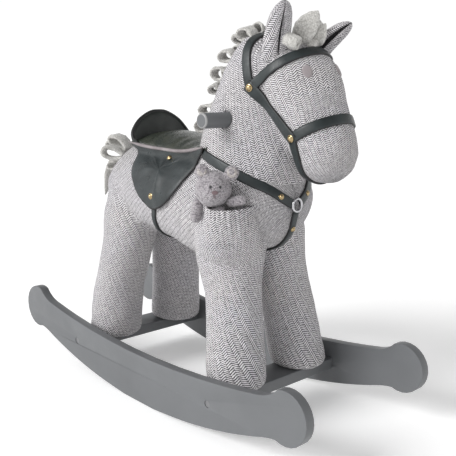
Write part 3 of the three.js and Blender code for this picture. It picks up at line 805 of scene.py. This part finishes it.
def piping(name, side):
    path = along_curve([(x, side * (y + 2), z) for x, y, z in SEAM], 70)
    rings = cord_rings(smoothed(path, 4), PIPING_RADIUS, 12, tapered(70, 9, 0.35))
    made = piece(f"piping_{name}", lofted("piping", rings), PIPING)
    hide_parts(f"saddle_piping_{name}")


SEAT = [  # x, half width, seam height, crown height
    (-112, 62, 399, 404), (-104, 62, 398, 409), (-90, 60, 396, 415), (-70, 58, 394, 418),
    (-40, 57, 393, 418), (-5, 58, 393, 414), (30, 62, 395, 409), (62, 68, 400, 406), (88, 73, 405, 407)]


def seat():
    """The seat's cushion: a crowned pad with shallow creases across its near edges."""
    stations = along_curve(SEAT, 60)
    rings = []
    for x, half, low, high in stations:
        ring = []
        for t in np.linspace(-1, 1, 33):
            rise = (1 - abs(t) ** 2.4) ** 0.75
            wave = 1.5 * math.cos(x / 3.6 + 0.8 * math.sin(x / 9))
            crease = wave * max(0, abs(t) - 0.45) * (1 - abs(t)) * 7
            ring.append((x, t * half, low + (high - low) * rise + crease))
        for t in np.linspace(0.96, -0.96, 9):
            ring.append((x, t * half, low - 7 - 5 * (1 - t * t)))
        rings.append(ring)
    made = piece("seat_cushion", lofted("seat_cushion", rings), SEAT_LEATHER)
    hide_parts("saddle_seat")


CANTLE = [  # along the rim, from the right side round the back: x, y, rim height
    (-97, -62, 399), (-108, -63, 404), (-115, -59, 415), (-119, -46, 430), (-121, -30, 440),
    (-122, -14, 446), (-122, 0, 447)]
CANTLE_THICK = 6.0
CANTLE_FOOT = 388
CANTLE_CENTRE = np.array([-62, 0])


def cantle():
    """The raised back of the seat: a curved wall round the rear, leaning out a little."""
    rim = CANTLE + [(x, -y, z) for x, y, z in reversed(CANTLE[:-1])]
    rim = along_curve(rim, 90)
    rings = []
    rail = []
    for x, y, z in rim:
        out = unit(np.array([x, y]) - CANTLE_CENTRE)
        ring = []
        for level in (0, 0.3, 0.6, 0.85, 1.0):
            lean = -7 * (1 - level) ** 1.4
            height = CANTLE_FOOT + (z - CANTLE_FOOT) * level
            ring.append((x + out[0] * lean, y + out[1] * lean, height))
        inner = [(px - out[0] * CANTLE_THICK, py - out[1] * CANTLE_THICK, pz - 1.0 * (k == 4))
                 for k, (px, py, pz) in enumerate(ring)]
        rings.append(ring + inner[::-1])
        rail.append((x - out[0] * CANTLE_THICK / 2, y - out[1] * CANTLE_THICK / 2, z + 0.3))
    wall = piece("cantle", lofted("cantle", rings), CANTLE_LEATHER)
    rings = cord_rings(rail, CANTLE_THICK / 2 + 0.2, 12, tapered(90, 12, 0.4))
    edge = piece("cantle_rim", lofted("cantle_rim", rings), EDGE)
    for made in (wall, edge):
        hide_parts("saddle_seat")


seat()
cantle()
for name, side in SIDES.items():
    flap(name, side)
    piping(name, side)
    for place in STUD_LIFT:
        at = centre_of(f"flap_stud_{place}_{name}")
        point, normal = from_side(at[0], at[2], side)
        dome(f"stud_{place}_{name}", point + normal * (FLAP_THICK + STUD_LIFT[place]),
             normal, STUD_RADIUS, node=f"flap_stud_{place}_{name}")


# ---- girth and breast collar ----
GIRTH_CENTRE = np.array([-4, 0, 320])
GIRTH_DOWN = unit((-28, -60))
GIRTH_REACH = 108    # outside the belly, but inside the rear legs
GIRTH_WIDTH, GIRTH_THICK = 10, 2.2


def girth():
    hits = []
    for turn in np.linspace(-1.5, 1.5, 60):
        way = np.array([GIRTH_DOWN[0] * math.cos(turn), math.sin(turn), GIRTH_DOWN[1] * math.cos(turn)])
        hits.append(hit(GIRTH_CENTRE + way * GIRTH_REACH, -way))
    strap("girth", hits, GIRTH_WIDTH, "girth_strap", thick=GIRTH_THICK)


COLLAR = [(82, 76, 396), (94, 75, 392), (154, 66, 370), (188, 32, 345)]
COLLAR_WIDTH, BELLY_WIDTH = 14, 12
COLLAR_RIVET = 3.5
BELLY_CENTRE = np.array([110, 0, 322])
RING_RADIUS, RING_WIRE = 9.2, 1.9


def collar():
    ring_at = centre_of("chest_ring")
    for name, side in SIDES.items():
        line = [(x, side * y, z) for x, y, z in COLLAR] + [ring_at + np.array([-3, side * 8, 2])]
        hits = [settle(p) for p in along_curve(line, 44)]
        strap(f"collar_{name}", hits, COLLAR_WIDTH, f"breast_strap_{name}", rounds=6)
        point, normal = hits[-7]
        dome(f"collar_rivet_{name}", point + normal * 3.4, normal, COLLAR_RIVET)
    hits = []
    for turn in np.linspace(-0.05, -2.62, 46):
        way = np.array([math.cos(turn), 0, math.sin(turn)])
        hits.append(hit(BELLY_CENTRE + way * HOOP_REACH, -way))
    strap("collar_belly", hits, BELLY_WIDTH, "belly_strap", rounds=4)
    point, normal = hits[5]
    dome("collar_rivet_belly", point + normal * 3.4, normal, COLLAR_RIVET)
    forward = np.array([1.0, 0, 0])
    rings = []
    for t in np.linspace(0, 2 * np.pi, 48, endpoint=False):
        out = np.array([0, math.cos(t), math.sin(t)])
        rings.append(oval(ring_at + RING_RADIUS * out, RING_WIRE * out, RING_WIRE * forward, 12))
    made = piece("collar_ring", lofted("collar_ring", rings, wrap=True), NICKEL)
    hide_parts("chest_ring")


girth()
collar()


# ---- ears ----
EARS = {  # base, tip, way the fold opens, half width, half the opening in degrees
    "right": ((187, -35, 531), (222, -57, 603), (0.86, -0.5, 0.0), 18.0, 4),
    "left": ((187, 44, 534), (238, 61, 581), (0.72, -0.35, 0.4), 14.0, 14),
}
EAR_ALONG = (0, 0.15, 0.35, 0.6, 0.78, 0.9, 0.97, 1.0)
EAR_WIDTH = (1.15, 1.1, 1.03, 0.94, 0.8, 0.58, 0.34, 0.1)     # shares of the half width
EAR_POINTS = 36      # round the outside, and again round the inside


def ear(name):
    """A folded leaf: a curled sheet whose edges nearly meet along a dark slit; its inside faces take a
    much darker copy of the tweed as painted shade.
    """
    base, tip, opening, half, gape = EARS[name]
    base, tip = np.array(base, dtype=float), np.array(tip, dtype=float)
    axis = unit(tip - base)
    front = unit(np.array(opening) - axis * (np.array(opening) @ axis))
    side = np.cross(axis, front)
    bend = unit(np.array([-0.6, 0, 0.4]))
    rings = []
    for s in np.linspace(0, 1, 30):
        width = half * np.interp(s, EAR_ALONG, EAR_WIDTH)
        depth = 0.6 * width + 0.6
        centre = base + (tip - base) * s + bend * 4 * math.sin(math.pi * s)
        wall = min(4.5, width * 0.45)
        slit = math.radians(gape * (0.7 + 0.6 * math.sin(math.pi * s)))
        turns = np.linspace(slit, 2 * math.pi - slit, EAR_POINTS)
        outer = [centre + width * math.sin(t) * side + depth * math.cos(t) * front for t in turns]
        inner = [centre + (width - wall) * math.sin(t) * side + (depth - wall) * math.cos(t) * front
                 for t in turns[::-1]]
        rings.append(outer + inner)
    inside = range(EAR_POINTS, 2 * EAR_POINTS - 1)
    # The inside faces take the much darker tweed, as painted shade.
    made = piece(f"ear_leaf_{name}", lofted("ear", rings, edges=inside), TWEED, EAR_INSIDE_SHADE)
    weave_map(made, lambda p: turned(np.arctan2((p - base) @ side, -(p - base) @ front) * half,
                                     (p - base) @ axis, 0.3))
    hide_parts(f"ear_{name}")


for name in EARS:
    ear(name)


# ---- hair: loops of felt strip ----
FELT_SECTION = [  # shares of the half width and of the thickness
    (-1, 0), (-0.9, 0.4), (-0.5, 0.52), (0.5, 0.5), (0.9, 0.4),
    (1, 0), (0.9, -0.4), (0.5, -0.5), (-0.5, -0.5), (-0.9, -0.4)]


def fluff(place, normal):
    return normal * (noise.noise(Vector(place) * 0.16) * 1.1 + noise.noise(Vector(place) * 0.6) * 0.45)


def felt_strip(name, path, across, widths, thick):
    """A thick felt strip along a path, with soft edges."""
    rings = []
    for centre, tangent, width in zip(path, np.gradient(path, axis=0), widths):
        normal = np.cross(unit(tangent), across)
        rings.append([centre + across * a * width / 2 + normal * u * thick for a, u in FELT_SECTION])
    made = piece(name, lofted(name, rings), FLEECE)
    modified(made, "SUBSURF", levels=1)
    applied(made)
    nudged(made, fluff)
    return made


def loop_piece(name, base, out, along, length, height, width, thick, twist=0.0):
    """A strip folded into a rounded loop that stands on its base. out is the way that it stands,
    along the way that it opens, and twist turns it about the way that it stands."""
    base = np.array(base, dtype=float)
    out = unit(out)
    along = unit(np.array(along, dtype=float) - out * (np.array(along) @ out))
    along = along * math.cos(twist) + np.cross(out, along) * math.sin(twist)
    across = np.cross(out, along)
    turns = 2 * np.pi * np.linspace(0.05, 0.95, 26)
    far = (1 - np.cos(turns)) / 2
    belly = height * 0.6 * np.sin(turns) * (0.5 + 0.5 * far)
    drift = width * 0.12 * np.sin(turns * 1.5 + twist * 5)
    path = base + np.outer(length * far, out) + np.outer(belly, along) + np.outer(drift, across)
    return felt_strip(name, path, across, width * (0.8 + 0.2 * far), thick)


CURL_THICK = 4.5


def curl(name, centre, axis, length, radius):
    """A strip rolled up round an axis, with a small hole along its middle."""
    axis = unit(axis)
    side = unit(np.cross(axis, (0, 0, 1)))
    up = np.cross(side, axis)
    turns = np.linspace(0, 2 * np.pi * 1.7, 44)
    reach = np.linspace(CURL_THICK * 0.9, radius - CURL_THICK / 2, 44)
    spiral = np.outer(reach * np.cos(turns), side) + np.outer(reach * np.sin(turns), up)
    widths = length * np.linspace(0.85, 1.0, 44)
    return felt_strip(name, np.array(centre) + spiral, axis, widths, CURL_THICK)


def petal(name, base, tip, flat, half_width, half_depth):
    """A rounded leaf of folded felt from its base to its tip; flat is the way that it faces."""
    base, tip = np.array(base, dtype=float), np.array(tip, dtype=float)
    axis = unit(tip - base)
    flat = unit(np.array(flat) - axis * (np.array(flat) @ axis))
    side = np.cross(axis, flat)
    rings = []
    for s in np.linspace(0, 1, 20):
        size = math.sin(math.pi * (0.12 + 0.88 * s) ** 0.9) ** 0.6 + 0.04
        bow = flat * 5 * math.sin(math.pi * s)
        ring = []
        for turn in np.linspace(0, 2 * np.pi, 28, endpoint=False):
            cup = -0.35 * half_depth * math.cos(turn) ** 2
            ring.append(base + (tip - base) * s + bow + size * (half_width * math.cos(turn) * side
                        + (half_depth * math.sin(turn) - cup) * flat))
        rings.append(ring)
    made = piece(name, lofted(name, rings), FLEECE)
    nudged(made, fluff)
    return made


MANE_RIDGE = [(34, 432), (40, 456), (49, 479), (59, 502), (72, 524), (86, 545), (103, 562), (121, 575)]
MANE_COUNT = 7                 # loops along the ridge
MANE_ROWS = (-22, -3, 16)      # places of the rows across it
MANE_WIDTH, MANE_THICK = 22, 4.8


def mane():
    """Rows of loops along the neck's ridge, each leaning and turning its own way."""
    ridge = along_curve(MANE_RIDGE, MANE_COUNT)
    for i, (x, z) in enumerate(ridge):
        before, after = ridge[max(i - 1, 0)], ridge[min(i + 1, len(ridge) - 1)]
        along = unit((after[0] - before[0], 0, after[1] - before[1]))
        out = np.array([-along[2], 0, along[0]])
        for row, y in enumerate(MANE_ROWS):
            wobble = math.sin(i * 2.3 + row * 1.7)
            base, _ = settle((x + 8, y, z))
            lean = out + np.array([0, (row - 1) * 0.35 + 0.2 * wobble, 0]) - along * (0.3 + 0.3 * wobble)
            length = 21 + 4 * wobble
            height = 15 + 4 * math.cos(i * 1.9 + row)
            twist = 0.6 * math.sin(i * 3.1 + row * 2.2)
            made = loop_piece(f"mane_loop_{i + 1}_{row + 1}", base - out * 4, lean, along,
                              length, height, MANE_WIDTH, MANE_THICK, twist)
            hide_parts(f"mane_tuft_{min(i // 2 + 1, 4)}")


FORELOCK_LOOPS = {  # base, way out, way along, length, height, width, thickness
    "back": ((190, 18, 556), (0.55, 0.5, 0.7), (0.8, -0.4, 0), 33, 15, 18, 4.5),
    "rear": ((178, -12, 558), (-0.1, -0.15, 1.0), (0.7, -0.7, 0), 26, 10, 17, 4.5),
    "low": ((207, 4, 546), (0.8, -0.1, 0.45), (0, 1, 0.1), 17, 15, 13, 4.5),
    "near": ((198, -8, 548), (0.7, -0.5, 0.5), (0.3, 0.8, 0), 16, 12, 13, 4.5),
}
TAIL = {  # the same measures
    "top": ((-200, -6, 374), (-0.75, -0.15, 0.5), (0.5, 0, 0.75), 40, 20, 26, 8),
    "near": ((-196, -18, 364), (-0.7, -0.55, 0.25), (0.1, 0.1, 1), 38, 20, 24, 8),
    "low": ((-205, -10, 352), (-0.8, -0.3, -0.25), (0.1, 0.1, 1), 32, 15, 20, 5.5),
    "far": ((-205, 12, 366), (-0.8, 0.35, 0.25), (0.1, 0, 1), 38, 18, 20, 6),
    "end": ((-222, -4, 378), (-0.9, -0.1, 0.1), (0.1, 0, 1), 32, 16, 20, 5.5),
}
TAB_WIDTH = 30
TAB_ACROSS = np.array([0.25, 1, 0])
TAB_SECTION = [(-1, -1), (-1, 1), (-0.5, 1.8), (0.5, 1.8), (1, 1), (1, -1)]
TAIL_TAB = [(-208, -8, 362), (-228, -8, 357), (-246, -8, 338), (-260, -9, 310), (-271, -9, 286)]


def forelock():
    made = [curl("forelock_curl", (214, -34, 553), (0.8, 0.4, -0.35), 24, 12),
            petal("forelock_petal", (205, -10, 556), (232, -3, 593), (0.7, -0.65, 0.3), 15, 8),
            petal("forelock_leaf", (212, 18, 552), (238, 6, 577), (0.7, -0.5, 0.4), 9, 6)]
    for key, shape in FORELOCK_LOOPS.items():
        made.append(loop_piece(f"forelock_{key}", *shape))
    for lock in made:
        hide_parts("forelock")


def tail():
    """Five loops, and under them a flat tab that hangs and narrows to a point."""
    for key, shape in TAIL.items():
        made = loop_piece(f"tail_{key}", *shape)
        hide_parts("tail_tuft")
    path = along_curve(TAIL_TAB, 24)
    widths = np.interp(np.linspace(0, 1, 24), [0, 0.3, 0.6, 1], [18, TAB_WIDTH, 24, 2])
    rings = []
    for point, tangent, width in zip(path, np.gradient(path, axis=0), widths):
        tangent = unit(tangent)
        across = unit(TAB_ACROSS - tangent * (TAB_ACROSS @ tangent))
        normal = np.cross(tangent, across)
        rings.append([point + across * a * width / 2 + normal * u for a, u in TAB_SECTION])
    made = piece("tail_tab", lofted("tail_tab", rings), FLEECE)
    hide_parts("tail_flap")


mane()
forelock()
tail()


# ---- face ----
EYE_SEEN_FROM = np.array([400, 60, 560])     # on the left; the right eye mirrors it
EYE_TOWARDS = np.array([232, 25, 513])
EYE_UP = np.array([-0.35, 0, 0.94])
EYE_WIDE, EYE_TALL = 6.8, 9.0                # half sizes
EYE_LEVELS = ((1.0, -0.6), (1.02, 0.5), (0.9, 1.3), (0.6, 1.7), (0.25, 1.9))


def eye(name, side):
    """An embroidered oval, standing a little proud of the cloth."""
    mirror = np.array([1, side, 1])
    centre, normal = hit(EYE_SEEN_FROM * mirror, (EYE_TOWARDS - EYE_SEEN_FROM) * mirror)
    up = unit(EYE_UP - normal * (EYE_UP @ normal))
    across = np.cross(up, normal)
    rings = patch(centre, normal, EYE_WIDE * across, EYE_TALL * up, EYE_LEVELS, 28)
    made = piece(f"eye_{name}", lofted("eye", rings), EYE)


for name, side in SIDES.items():
    eye(name, side)


# ---- pocket and bear ----
POCKET_OUTSIDE = [  # height, centre x and y, half size along x and y: from the leg up to the rim
    (236, 119, -49, 43.5, 41), (244, 119, -50, 47, 44.5), (256, 124, -55, 47.5, 47.5),
    (276, 136, -65, 43, 48.5), (300, 146, -76, 37, 43), (317, 150, -81, 32.5, 38.5),
    (327, 151, -82, 31, 37), (329, 151, -82, 30, 36)]
POCKET_INSIDE = [(327, 151, -82, 28, 34), (300, 151, -82, 27, 33), (274, 151, -82, 22, 28)]
POCKET_MIDDLE = np.array([136, -66])
POCKET_TOP, GATHER_DEPTH = 327, 55      # the rim's height, and how far down the gathers fade
GATHERS = 26


def pocket():
    """A pouch of the same cloth: gathered at the rim, and spread over the top of the leg."""
    outside = along_curve(POCKET_OUTSIDE, 34)
    rings = []
    for z, cx, cy, half_x, half_y in [*outside, *POCKET_INSIDE]:
        ring = []
        for turn in np.linspace(0, 2 * np.pi, 120, endpoint=False):
            front = 0.45 + 0.55 * max(0.0, math.cos(turn + 0.4))
            fade = max(0.0, 1 - (POCKET_TOP - z) / GATHER_DEPTH) * front
            fold = 1.7 * fade * math.sin(turn * GATHERS + 1.6 * math.sin(turn * 5))
            sag = 1.5 * math.sin(turn * 2 + 0.6) * max(0.0, (z - 300) / 27)
            ring.append((cx + (half_x + fold) * math.cos(turn), cy + (half_y + fold) * math.sin(turn),
                         z + sag))
        rings.append(ring)
    made = piece("shoulder_pocket", lofted("shoulder_pocket", rings), TWEED)
    nudged(made, lambda place, normal: normal * 1.2 * noise.noise(Vector(place) * 0.045))

    def around(points):
        x, y = (points[:, :2] - POCKET_MIDDLE).T
        return turned(np.arctan2(y, x) * 50, points[:, 2], 0.12)

    weave_map(made, around)
    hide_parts("pocket")


BEAR_FACING = np.array([0.73, -0.66, 0.12])
BEAR_HEAD_AT = np.array([142, -106, 354])
BEAR_EARS = {"right": (135.7, -121.6, 379), "left": (163.7, -91.6, 377.6)}
BEAR_EAR_RADIUS = 7.0
BEAR_MARKS = {  # across and up from the middle of the face, half sizes and thread
    "nose": (2.5, -4.5, 4.4, 3.2, BROWN), "eye_right": (-3.5, 3.0, 1.8, 2.2, BLACK),
    "eye_left": (9.5, 3.0, 1.8, 2.2, BLACK)}
BEAR_MOUTH = ((2.5, -7), (2.5, -10), (0, -12))
MARK_LEVELS = ((1.0, -0.8), (1.0, 0.5), (0.8, 1.1), (0.3, 1.4))
LINING_LEVELS = ((1.0, -1.5), (1.0, 0.6), (0.7, 1.3), (0.3, 1.0))


def pile(place, normal):
    return normal * (0.9 * noise.noise(Vector(place) * 0.42) + 0.9 * noise.noise(Vector(place) * 0.16))


def bear():
    """The small plush bear: its head with a raised muzzle, and its body and arms."""
    head = joined("bear_face", ["bear_head"], PILE, body="bear")
    remeshed(head, 1.6, 5)
    facing = unit(BEAR_FACING)
    snout = unit(facing + np.array([0.05, 0.05, -0.18]))

    def muzzle(place, normal):
        near = unit(place - BEAR_HEAD_AT) @ snout
        return facing * 5.5 * max(0.0, (near - 0.72) / 0.28) ** 0.8 + pile(place, normal)

    nudged(head, muzzle)
    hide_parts("bear_head")
    tree = tree_of(head)
    right = unit(np.cross((0, 0, 1), facing))
    up = np.cross(facing, right)

    def on_face(a, b):
        start = BEAR_HEAD_AT + right * a + up * b + facing * 80
        point, normal, _, _ = tree.ray_cast(Vector(start * MM), Vector(-facing))
        return np.array(point) / MM, np.array(normal)

    for key, (a, b, wide, tall, material) in BEAR_MARKS.items():
        rings = patch(*on_face(a, b), wide * right, tall * up, MARK_LEVELS, 20)
        made = piece(f"bear_{key}", lofted(key, rings), material, body="bear")
    mouth = along_curve([on_face(a, b)[0] + facing * 0.3 for a, b in BEAR_MOUTH], 12)
    made = piece("bear_mouth", lofted("mouth", cord_rings(mouth, 0.5, 6)), BROWN, body="bear")
    for key, at in BEAR_EARS.items():
        rings = patch(np.array(at) + facing * 3.6, facing, BEAR_EAR_RADIUS * right, BEAR_EAR_RADIUS * up,
                      LINING_LEVELS, 24)
        made = piece(f"bear_ear_lining_{key}", lofted("lining", rings), PILE_PALE, body="bear")
    for node in ("bear_body", "bear_arm_right", "bear_arm_left"):
        made = joined(node.replace("bear_", "plush_"), [node], PILE, body="bear")
        remeshed(made, 1.8, 5)
        nudged(made, pile)
        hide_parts(node)


pocket()
bear()
